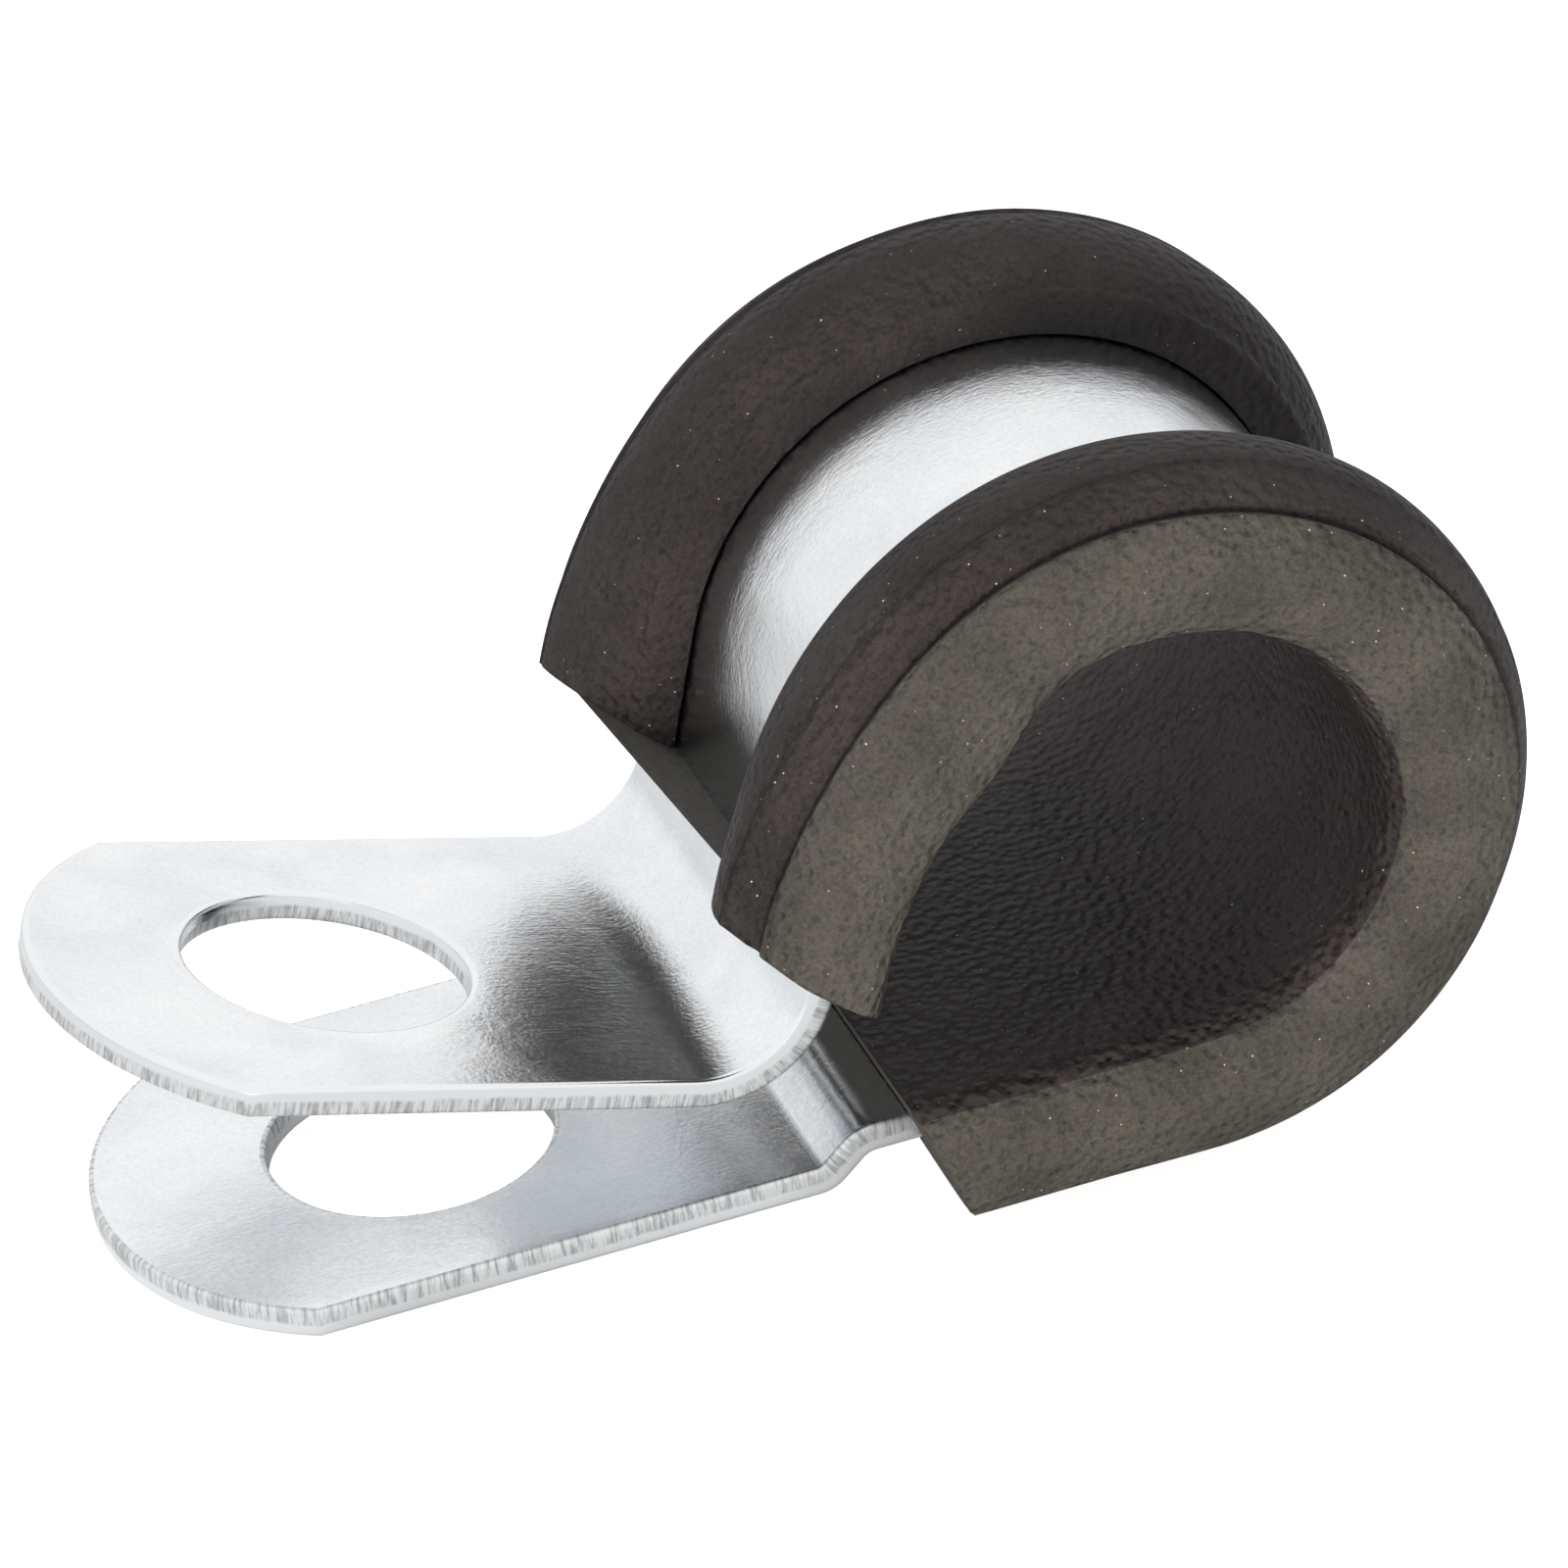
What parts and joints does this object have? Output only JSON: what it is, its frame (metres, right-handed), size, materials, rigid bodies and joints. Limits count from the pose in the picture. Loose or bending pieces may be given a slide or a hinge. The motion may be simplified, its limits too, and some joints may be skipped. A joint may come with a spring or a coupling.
{
  "type": "lined p clip",
  "caption": "P clip of bent zinc-plated steel strip with two open bolt ears and a black rubber liner around its cable loop.",
  "frame": {"origin": "centre of the lower ear's bolt hole, at the ear's underside", "axes": "-Z down along the lower hole's axis, +X from the ears towards the loop, +Y along the width of the band"},
  "size_m": [0.0335, 0.0166, 0.0178],
  "materials": {
    "zinc_steel": "bright zinc plate, a little mottled",
    "rubber": "matt, fine leathery grain"
  },
  "bodies": {
    "root": {"steel_band": "zinc_steel", "rubber_liner": "rubber"}
  },
  "joints": []
}
